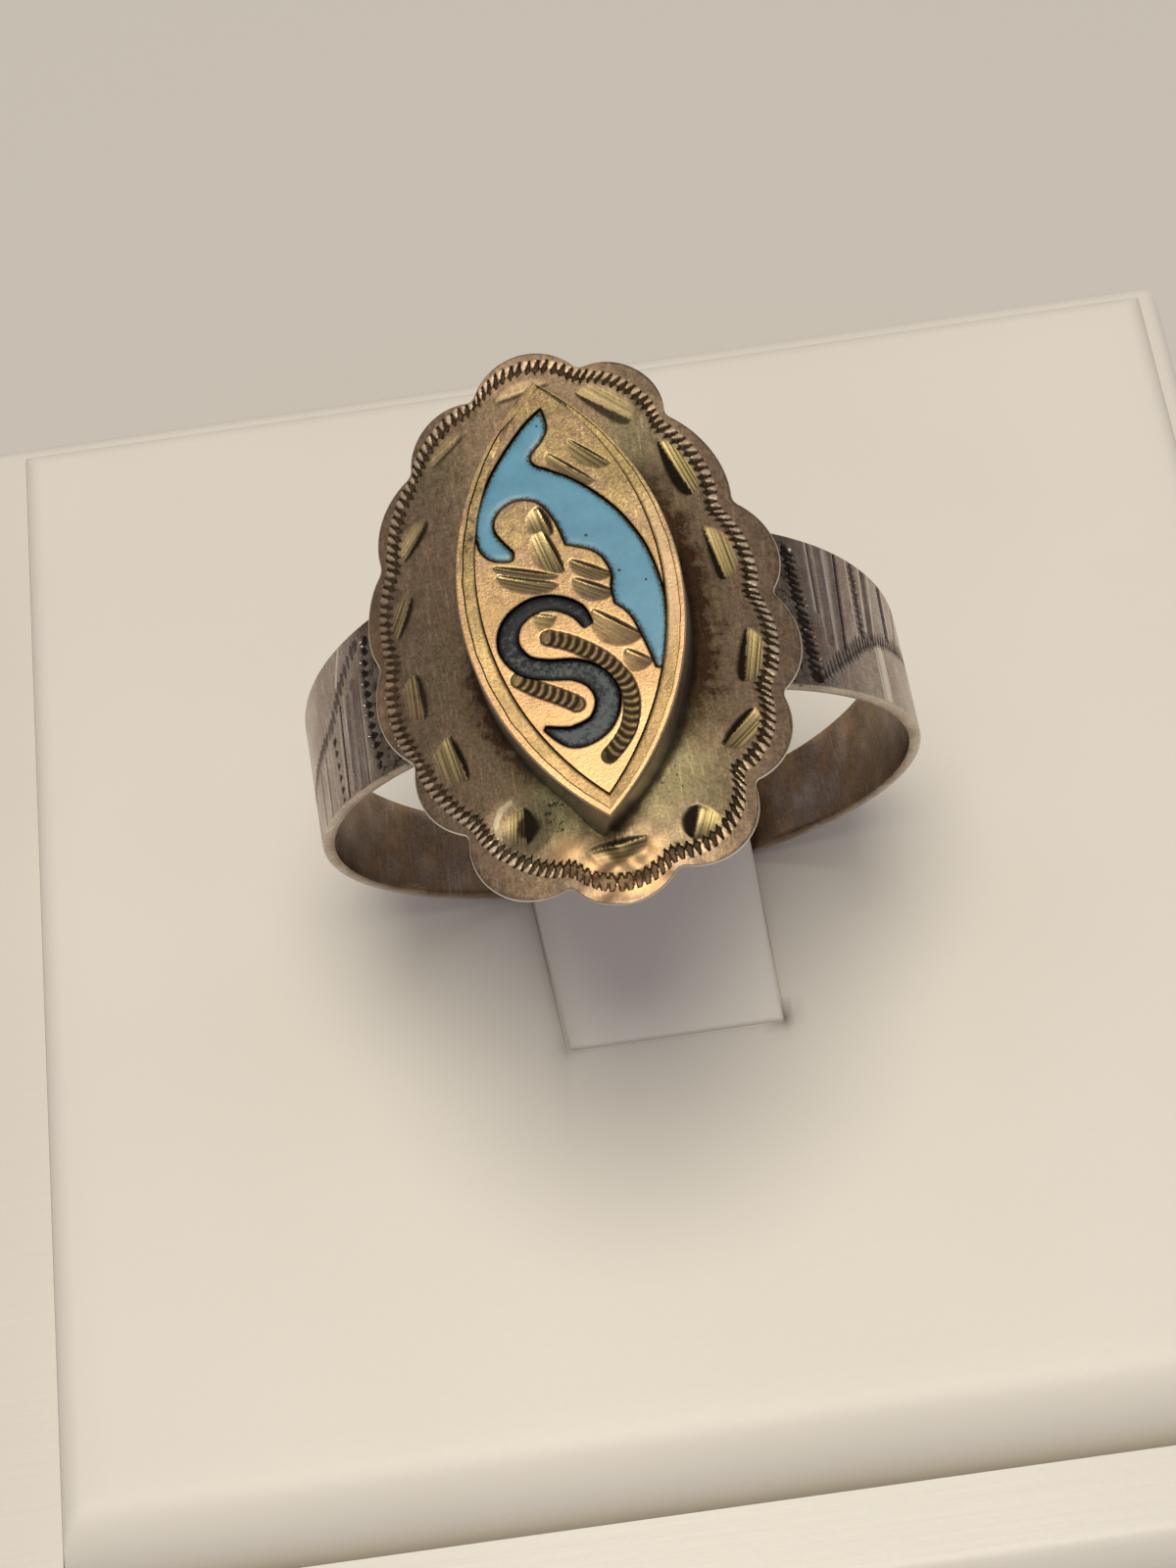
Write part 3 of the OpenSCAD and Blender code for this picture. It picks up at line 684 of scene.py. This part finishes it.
# Arcs of the outer edge and of the field: near end, far end and how far it stands out to the left
ARCS = [
    ((0.02, -6.87), (0.13, 6.95), 3.21), ((0.02, -6.87), (0.13, 6.95), -3.21),
    ((0.12, -6.18), (-0.39, 6.13), 2.37), ((0.12, -6.18), (0.28, 6.70), -2.53),
]
outer_left, outer_right, inner_left, inner_right = (arc_between(*arc, share)[0] for arc in ARCS)
# Wall as shares of its height, then border as share of the way in and drop below the field
WALL = [1.0, 0.94, 0.8, 0.5, 0.2]
BORDER = [(0.0, 0.06), (0.03, 0.02), (0.07, 0.0), (0.15, 0.0), (0.22, 0.0), (0.26, 0.05), (0.50, 0.057),
          (0.75, 0.064), (0.93, 0.07), (0.97, 0.10)]
FIELD_COLUMNS = 150
rim_wear = 0.045 * ripple(share * 14, share * 0, 0.8, 5)


def plaque_side(outer, inner, taper, rim_share):
    """Wall and border columns of one side, from the wall's foot to the edge of the field. The strip narrows
    to a point where taper is 1. Solder has pulled the foot of the near point to the left."""
    out = (outer - inner) / (np.hypot(*(outer - inner).T)[:, None] + 1e-9)
    pulled = np.stack([-0.38 * np.exp(-(((outer[:, 1] + 6.9) / 0.8) ** 2)), 0 * taper], -1)
    side = []
    for part in WALL:
        fillet = 0.07 * max(0, part - 0.8) / 0.2
        side.append((outer + out * fillet + pulled * part, 0.06 + 0 * taper, part, 0.0))
    for part, drop in BORDER:
        place = np.interp(part, (0, 0.07, 0.26, 0.93), (0, 0.07, rim_share, 0.93))
        place = place + (rim_wear + (0.97 - place) * taper if 0.2 < part < 0.9 else 0 * taper)
        side.append((outer + (inner - outer) * place[:, None], drop * (1 - taper), 0.0, part + 0.001))
    return side


columns = plaque_side(outer_left, inner_left, limited((share - 0.90) / 0.09), 0.38)
for part in np.linspace(0, 1, FIELD_COLUMNS):
    columns.append((inner_left + (inner_right - inner_left) * part, 0 * share, 0.0, 0.0))
columns += plaque_side(outer_right, inner_right, 0 * share, 0.31)[::-1]
plaque_xy, drop = (np.stack([c[k] for c in columns], 1) for k in (0, 1))
wall_share, border_place = (np.broadcast_to([c[k] for c in columns], drop.shape) for k in (2, 3))
field = (border_place == 0) & (wall_share == 0)
field_xy = plaque_xy[field]
field_drop, sooty = np.zeros(len(field_xy)), np.zeros(len(field_xy))
margin = from_outline(field_xy, np.concatenate([inner_left, inner_right[::-1]]))[0] < -0.02
POCKET_DEPTH, CELL = 0.30, 0.018
for pocket in pockets:
    distance, nearest = from_outline(field_xy, pocket)
    snapped = (np.abs(distance) < CELL) & margin
    field_xy[snapped] = nearest[snapped]
    field_drop[(distance < -CELL) & margin] = POCKET_DEPTH
    sooty = np.maximum(sooty, limited(1 - (distance - 0.005) / 0.05) * (distance > -CELL))
    sooty[distance <= -CELL] = 1
plaque_xy[field] = field_xy
fx, fy = field_xy.T
metal = field_drop == 0
even_cuts = [(*cut, 0.0, 1.0) for cut in FIELD_CUTS]
field_cut, field_bright, field_dark, field_lay = bright_cuts(fx, fy, even_cuts, 2.3)
roped, rope_body = np.zeros(len(fx)), np.zeros(len(fx))
for rope in ROPES:
    along, side = beside_path(fx, fy, smooth_curve(rope, 3))
    body = limited((1 - np.abs(side) / ROPE_HALF) * 5)
    bowed = along / ROPE_PITCH + 0.4 * (side / ROPE_HALF) ** 2
    stroke = limited(1.6 - np.abs(bowed % 1 * 2 - 1) * 2.4)
    roped = np.maximum(roped, body * (0.64 + 0.36 * stroke))
    rope_body = np.maximum(rope_body, body)
field_cut = np.maximum(field_cut, ROPE_DEPTH * roped)
drop[field] = np.where(metal, field_cut, field_drop)
drop = drop + (wall_share == 0) * 0.012 * ripple(plaque_xy[..., 0], plaque_xy[..., 1], 2.2, 7)

# The wall's foot is sunk in the plate, so that no gap shows along it
FOOT_SUNK = 0.25
foot = PLATE_CROWN - PLATE_BEND_R + np.sqrt(PLATE_BEND_R**2 - plaque_xy[..., 0] ** 2) - FOOT_SUNK
plaque_z = PLAQUE_TOP - drop
plaque_z = plaque_z + (foot - plaque_z) * wall_share
marks = {mark: np.zeros(drop.shape) for mark in MARKS}
marks["cut"][field] = np.maximum.reduce([sooty * 0.95, field_dark * 0.85 * metal, roped * 0.96])
marks["bright"][field] = field_bright * metal * np.clip(0.7 + fy / 4, 0.35, 0.9)
marks["lay"][field] = field_lay
pointed = limited((share[:, None] - 0.96) / 0.03) * (np.arange(drop.shape[1]) < drop.shape[1] / 2)
# The groove round the field is black, and the wall's foot is painted black as a contact shadow
marks["cut"] += (border_place > 0.9) * 0.85 * (1 - pointed) + (wall_share > 0.9) * 0.7
# The rim and the strip end at these shares of the border's width
RIM_END, STRIP_END = 0.24, 0.9
strip = (border_place > RIM_END) & (border_place < STRIP_END)
marks["lip"] += strip
rim_top = (border_place > 0) & (border_place < RIM_END)
on_wall = wall_share > 0
# Painted gold reflection on the field and rim, strongest towards the near end
low_field = limited(0.42 - plaque_xy[..., 1] / 6)
marks["gold_and_glint"] += rim_top * (0.12 + 0.7 * low_field) + field * low_field * 0.95 * (1 - marks["bright"])
marks["gold_and_glint"][field] *= 1 - 0.85 * rope_body
# Painted highlights: along the right strip, on the strip towards the near end, and a pale line on the rim's
# outer edge
on_right = plaque_xy[..., 0] > 1
right_gleam = np.exp(-(((plaque_xy[..., 1] - 0.2) / 2.2) ** 4)) * on_right
marks["gold_and_glint"] += strip * (right_gleam * 0.7 + low_field**1.6 * 0.5)
marks["edge"] += strip * right_gleam * 0.10 + (border_place > 0) * (border_place < 0.04) * 0.35
# Painted shade: darker at the wall's foot, and on the left strip away from the near end
marks["stain_and_shade"] += on_wall * 0.2 * wall_share**4 + strip * np.where(on_right, 0.05, 0.5) * (1 - low_field)
marks["green"] += on_wall * 0.6 * (1 - 0.4 * wall_share)
marks["edge"] += on_wall * 0.75 * (1 - 0.3 * wall_share)
plaque_metal = worn_gilding(
    "gilt_plaque", plain="#9A7F66", warm="#9C875C", stain_and_shade="#3E362E", fresh="#AE9C70", furrow="#685A3C",
    oxide="#1E1811", green="#B4B8B8", rough=0.3)
plaque_faces = grid_faces(*drop.shape, False, True)
last = np.arange(len(WALL) - 1, drop.shape[1] - len(WALL) + 1) + (drop.shape[0] - 1) * drop.shape[1]
plaque_faces.append(last.tolist())
plaque = make_piece(
    "pointed_plaque", on_the_pad(np.concatenate([plaque_xy, plaque_z[..., None]], -1)), plaque_faces,
    plaque_metal, marks)
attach(plaque, "root")
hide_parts("ring_metal")

# Blue enamel
# Opaque glass paste, fired in the comma-shaped pocket and stoned down level with the metal, so that it is
# satin. It has shrunk a little at its edge, and small bubbles show as dark pits.
ENAMEL_DEPTH, EDGE_SUNK, EDGE_FADE, BELOW_TOP = 0.28, 0.045, 0.05, 0.015


def enamel_inlay(name, outline, material, spacing=0.11, dirt_width=0.11):
    """A thin slab with a shrunk edge that fills an outline of the field."""
    rings = [outline, widened(outline, -0.05)]
    low, high = outline.min(0), outline.max(0)
    inside = np.stack(np.meshgrid(*[np.arange(low[k], high[k], spacing) for k in (0, 1)]), -1).reshape(-1, 2)
    jitter = np.random.default_rng(11).uniform(-0.2, 0.2, inside.shape) * spacing
    inside = (inside + jitter)[from_outline(inside + jitter, outline)[0] < -0.11]
    ring = rings[1][from_outline(rings[1], outline)[0] < -0.04]
    flat = np.concatenate([outline, ring, inside])
    loop = list(range(len(outline)))
    found, _, faces, *_ = delaunay_2d_cdt([Vector(p) for p in flat], [], [loop], 1, 1e-6)
    found = np.array([tuple(p) for p in found])
    depth = -from_outline(found, outline)[0]
    sunk = EDGE_SUNK * np.exp(-((np.clip(depth, 0, 9) / EDGE_FADE) ** 2)) + BELOW_TOP
    upper = np.column_stack([found, PLAQUE_TOP - sunk - 0.006 * ripple(*found.T, 1.3, 3)])
    lower = np.column_stack([found, np.full(len(found), PLAQUE_TOP - ENAMEL_DEPTH)])
    count = len(found)
    edge = [i for i in range(count) if depth[i] < 1e-4]
    order = sorted(edge, key=lambda i: np.hypot(*(outline - found[i]).T).argmin())
    walls = [[a, b, b + count, a + count] for a, b in zip(order, order[1:] + order[:1])]
    under = [[i + count for i in reversed(face)] for face in faces]
    rim_mark = np.exp(-np.clip(np.concatenate([depth, depth]), 0, 9) / dirt_width)
    burnt_mark = limited(-0.15 - np.concatenate([found, found])[:, 1] / 3.6)
    return make_piece(
        name, on_the_pad(np.concatenate([upper, lower])), [*map(list, faces), *under, *walls], material,
        {"rim": rim_mark, "burnt": burnt_mark}, crease=60)


def fired_enamel(name, body, paler, speck, dirt, patch_mm, patch_stops, rough, shine, worn=0.0):
    """Opaque enamel: glassy but stoned satin, with cloudy colour, small dark pits and dirt along its edge."""
    made, tree, place = new_finish(name)
    burnt, rim = [add(tree, "Attribute", out="Fac", attribute_name=mark) for mark in ("burnt", "rim")]
    patch = add(tree, "TexNoise", {
        "Vector": place, "Scale": 1 / (patch_mm * MM), "Detail": 6.0, "Roughness": 0.7})
    patchy = add(tree, "Math", {0: burnt, 1: worn, 2: patch}, operation="MULTIPLY_ADD")
    patches = add(tree, "ValToRGB", {"Fac": patchy}, zip(patch_stops, (0, 1)))
    pitted = open_pits(tree, place, 0.42, -0.34, 0.6)
    grain = add(tree, "TexNoise", {"Vector": place, "Scale": 1 / (0.07 * MM), "Detail": 3.0})
    dirty = add(tree, "Math", {0: rim, 1: grain}, operation="MULTIPLY")
    dirty = add(tree, "ValToRGB", {"Fac": dirty}, [(0.2, 0), (0.36, 1)])
    coats = [("MIX", patches, paler), ("MIX", pitted, speck), ("MIX", dirty, dirt)]
    return surfaced(made, body, coats, grain, 0.25, 0.01, {
        "Roughness": rough, "IOR": 1.52, "Specular IOR Level": shine})


# Turquoise blue, a little cloudy
blue_glass = fired_enamel(
    "opaque_blue_enamel", "#4C87A3", "#5C98B0", "#10181C", "#3A3629", 0.9, (0.35, 0.7), 0.34, 0.5)
blue = enamel_inlay("blue_enamel_comma", blue_outline, blue_glass)
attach(blue, "root")
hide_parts("blue_enamel")

# Grey enamel
# Dark paste in the scroll-shaped pocket, fired and stoned like the blue. Its blue-black has burnt through to
# grey-green in patches in the kiln.
grey_glass = fired_enamel(
    "mottled_grey_enamel", "#0B0E16", "#525959", "#06070A", "#07090F", 0.16, (0.52, 0.70), 0.5, 0.25,
    worn=0.2)
grey = enamel_inlay("grey_enamel_scroll", grey_outline, grey_glass, 0.06, 0.15)
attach(grey, "root")
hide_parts("grey_enamel")

# Display pad
# White plastic block with a well-rounded front edge, pressed into the tray. A window in its top leaves room
# for the band below the tongue, a little grime has gathered where the tongue starts, and a painted shadow
# darkens the left gap.
PAD_AT, PAD_TOP, PAD_FOOT = (1.45, 1.575), 14.8, 2.0
PAD_HALF, PAD_FRONT_R, PAD_SIDE_R = 21.6, 2.8, 0.8
TIGHT = 0.07
HINGE_Y, WINDOW_END = -6.05, 4.65
# Edges of the window to the left and right of the pad's middle, at the hinge and at its far end
WINDOW_X = ((-3.735, -4.785), (3.69, 3.34))
WINDOW_D = 0.75
# Steps down into the window: mm past its edge, and the level that is reached there
LEVELS = (0.0, 0.015, 0.06, WINDOW_D)
EDGE_STEPS = ((-0.8, 0), (-0.35, 0), (-0.12, 0), (-0.04, 1), (0.0, 2), (0.17, 2), (0.18, 3))


def rounded_run(half, radius, steps):
    """Places from an upright edge to where its rounding ends, and the drop of each below the top."""
    turns = np.linspace(0, np.pi / 2, steps)
    return [(-half + radius * (1 - math.cos(t)), radius * (1 - math.sin(t))) for t in turns]


front = rounded_run(PAD_HALF - TIGHT, PAD_FRONT_R, 14)
side_round = rounded_run(PAD_HALF + TIGHT, PAD_SIDE_R, 8)


def over_the_pad(start, low, high, steps):
    """Places across the pad from one rounded edge to the other, over the window from low to high. Each has
    its drop at the rounding and its level in the window."""
    margin = EDGE_STEPS[0][0]
    line = [(place, down, 0) for place, down in start]
    line += [(place, 0, 0) for place in np.linspace(start[-1][0], low + margin, 16)[1:-1]]
    line += [(low + step, 0, level) for step, level in EDGE_STEPS]
    line += [(place, 0, 3) for place in np.linspace(low, high, steps)[1:-1]]
    line += [(high - step, 0, level) for step, level in reversed(EDGE_STEPS)]
    line += [(place, 0, 0) for place in np.linspace(high - margin, -side_round[-1][0], 16)[1:-1]]
    return line + [(-place, down, 0) for place, down in reversed(side_round)]


rows = over_the_pad(front, HINGE_Y, WINDOW_END, 12)
pad_points = []
for row, (py, row_down, row_level) in enumerate(rows):
    line = over_the_pad(side_round, *[np.interp(py, (HINGE_Y, WINDOW_END), ends) for ends in WINDOW_X], 10)
    line = [(line[0][0], None, 0), *line, (line[-1][0], None, 0)]
    points = []
    for px, down, level in line:
        z = PAD_FOOT if down is None else PAD_TOP - max(down, row_down) - LEVELS[min(level, row_level)]
        points.append((px + PAD_AT[0], py + PAD_AT[1], z))
    if row in (0, len(rows) - 1):
        skirt = [(px, py, PAD_FOOT) for px, py, _ in points]
        pad_points += [skirt, points] if row == 0 else [points, skirt]
    else:
        pad_points.append(points)
pad_points = np.array(pad_points)
count_rows, count_columns = pad_points.shape[:2]
pad_faces = grid_faces(count_rows, count_columns)
corner = np.arange(count_rows * count_columns).reshape(count_rows, count_columns)
foot_loop = [*corner[0, :-1], *corner[:-1, -1], *corner[-1, :0:-1], *corner[:0:-1, 0]]
pad_faces.append([int(i) for i in foot_loop])


def moulded_plastic(name, body, shade, rough, rib_mm, rib_way, rib_strength):
    """Injection-moulded polystyrene: warm white and satin, with faint flow lines and a very fine skin."""
    made, tree, place = new_finish(name)
    cloud = add(tree, "TexNoise", {"Vector": place, "Scale": 1 / (14 * MM), "Detail": 3.0})
    skin = add(tree, "TexNoise", {"Vector": place, "Scale": 1 / (0.25 * MM), "Detail": 3.0})
    grime_and_shade = add(tree, "Attribute", out="Fac", attribute_name="grime_and_shade")
    # Grime and painted shade, read from the mesh, darken it to olive brown
    coats = [("MIX", cloud, shade), ("MIX", grime_and_shade, "#4F462F")]
    way = add(tree, "Mapping", {"Vector": place, "Scale": rib_way})
    flow = add(tree, "TexNoise", {"Vector": way, "Scale": 1 / (rib_mm * MM), "Detail": 2.0})
    relief, dull = [
        add(tree, "Math", {0: pattern, 1: share, 2: base}, operation="MULTIPLY_ADD")
        for pattern, share, base in ((flow, rib_strength, skin), (skin, 0.08, rough - 0.04))]
    return surfaced(made, body, coats, relief, 0.12, 0.03, {"Roughness": dull, "IOR": 1.55})


# Satin off-white that shows soft, wide highlights
pad_plastic = moulded_plastic("satin_white_polystyrene", "#E6E0D6", "#DDD7CC", 0.42, 0.35, (1, 0.05, 1), 0.6)
# Grime in the two corners of the hinge, and a painted shadow along the left gap: place from the hinge, size
# and strength
GRIME_AND_SHADE = (((-3.72, 0.2), (0.3, 0.4), 0.2), ((3.68, 0.2), (0.3, 0.4), 0.7), ((-3.95, 2), (0.25, 3.0), 0.15))
pad_grime_and_shade = spots(pad_points[..., 0] - PAD_AT[0], pad_points[..., 1] - PAD_AT[1] - HINGE_Y, GRIME_AND_SHADE)
pad = make_piece(
    "display_pad", pad_points.reshape(-1, 3) * MM, pad_faces, pad_plastic,
    {"grime_and_shade": limited(pad_grime_and_shade)})
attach(pad, "root")
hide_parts("display_insert")

# Tongue
# The same plastic, cut free on three sides and bent up at its front hinge. The band of the ring passes under
# it, and it presses the ring down into the window.
TONGUE_LEN, TONGUE_T, TONGUE_RISE = 10.5, 0.7, math.radians(15.5)
TONGUE_ROUND, TONGUE_TURNS = 0.12, np.radians((30, 60, 90))
TONGUE_HALF, TONGUE_WIDENS, TONGUE_DRIFT = 3.655, 0.35, -0.7
CREASE_DEPTH, CREASE_W = 0.12, 0.09
# Once round the tongue: share of its half width, mm past that, and mm below its top
ring_around = []
for side, steps, levels in ((1, 13, (0.0, TONGUE_T)), (-1, 7, (TONGUE_T, 0.0))):
    ring_around += [(s, 0.0, levels[0]) for s in np.linspace(-side, side, steps)]
    for level, turns in zip(levels, (TONGUE_TURNS, TONGUE_TURNS[::-1])):
        for t in turns:
            fall = TONGUE_ROUND * (1 - math.cos(t))
            ring_around.append((side, side * math.sin(t) * TONGUE_ROUND, level - fall if level else fall))
tongue_points, tongue_grime_and_shade = [], []
for run in np.concatenate([(-1.0, -0.6, -0.3), np.linspace(-0.2, 0.2, 17), np.linspace(0.3, 1.5, 7),
                           np.linspace(1.5, TONGUE_LEN, 18)[1:]]):
    share = max(run, 0) / TONGUE_LEN
    half = TONGUE_HALF + TONGUE_WIDENS * share - TONGUE_ROUND
    creased = math.exp(-((run / CREASE_W) ** 2))
    forward = run * math.cos(TONGUE_RISE) if run > 0 else run
    for s, past, down in ring_around:
        lift = max(run, 0) * math.sin(TONGUE_RISE) - (CREASE_DEPTH * creased if down < 0.2 else 0) - down
        tongue_points.append((
            PAD_AT[0] + TONGUE_DRIFT * share + s * half + past,
            PAD_AT[1] + HINGE_Y + forward + down * math.sin(TONGUE_RISE),
            PAD_TOP + lift - 0.004 * (run < 0)))
        # Darker along the hinge's crease, and a painted shadow along the tongue's left side
        tongue_grime_and_shade.append(0.5 * creased + 0.15 * (s < -0.99))
around = len(ring_around)
lengths = len(tongue_points) // around
tongue_faces = grid_faces(lengths, around, False, True)
tongue_faces += [list(range(around)), list(range((lengths - 1) * around, lengths * around))]
tongue = make_piece(
    "pad_tongue", np.array(tongue_points) * MM, tongue_faces, pad_plastic, {"grime_and_shade": tongue_grime_and_shade}, crease=50)
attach(tongue, "root")
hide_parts("display_insert")

# Tray
# Shallow moulded box that the pad sits in, of the same white plastic but glossier, with fine flow lines along
# its front ledge. The solid's own shape stays.
tray_plastic = moulded_plastic(
    "glossy_white_polystyrene", "#E1DBD2", "#D7D1C7", 0.34, 0.22, (0.03, 1, 1), 1.6)
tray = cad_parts["display_tray"]
for material_slot in tray.material_slots:
    material_slot.material = tray_plastic

# Stand-in table
# A plain pale surface under the tray; it isn't part of the object.
FLOOR_SIZE = 3.0
floor_mesh = bpy.data.meshes.new("floor")
floor_mesh.from_pydata(
    [(x * FLOOR_SIZE / 2, y * FLOOR_SIZE / 2, 0) for x, y in ((-1, -1), (1, -1), (1, 1), (-1, 1))], [],
    [(0, 1, 2, 3)])
floor = in_scene("floor", floor_mesh)
floor_paint = bpy.data.materials.new("matt_pale_paint")
floor_paint.use_nodes = True
painted = floor_paint.node_tree.nodes["Principled BSDF"]
painted.inputs["Base Color"].default_value = linear("#CFCBC4")
painted.inputs["Roughness"].default_value = 0.8
floor_mesh.materials.append(floor_paint)

# Camera
# A phone held above and in front of the pad, turned a little; 63.7 mm lens on a 36 mm long side.
CAMERA_AT = (0.821, -39.45, 102.271)
CAMERA_ELEVATION, CAMERA_YAW, CAMERA_ROLL = math.radians(62.784), math.radians(1.525), math.radians(-9.518)
camera_data = bpy.data.cameras.new("camera")
camera_data.lens, camera_data.sensor_width = 63.73, 36.0
camera_data.clip_start, camera_data.clip_end = 0.01, 10.0
camera = in_scene("camera", camera_data)
camera.matrix_world = (
    Matrix.Translation(Vector(CAMERA_AT) * MM)
    @ Matrix.Rotation(CAMERA_YAW, 4, "Z")
    @ Matrix.Rotation(math.radians(90) - CAMERA_ELEVATION, 4, "X")
    @ Matrix.Rotation(CAMERA_ROLL, 4, "Z")
)
bpy.context.scene.camera = camera

# Studio light
# One broad soft light straight above, in a room that is pale overhead and dim lower down.
KEY_AT, KEY_SIZE, KEY_POWER = (0.0, 0.004, 0.50), 0.28, 1.43
key_data = bpy.data.lights.new("key", "AREA")
key_data.shape, key_data.size, key_data.energy = "DISK", KEY_SIZE, KEY_POWER
key_data.color = linear("#FFF8E4")[:3]
key = in_scene("key", key_data)
key.location = KEY_AT
room = bpy.data.worlds.new("pale_room")
room.use_nodes = True
air = room.node_tree
height = add(air, "SeparateXYZ", {"Vector": add(air, "TexCoord", out="Generated")}, out="Z")
shell = add(air, "ValToRGB", {"Fac": height}, [(0.0, "#8B888D"), (1.0, "#B1AEB2")])
air.links.new(shell, air.nodes["Background"].inputs["Color"])
air.nodes["Background"].inputs["Strength"].default_value = 1.0
bpy.context.scene.world = room
bpy.context.scene.view_settings.view_transform = "Standard"
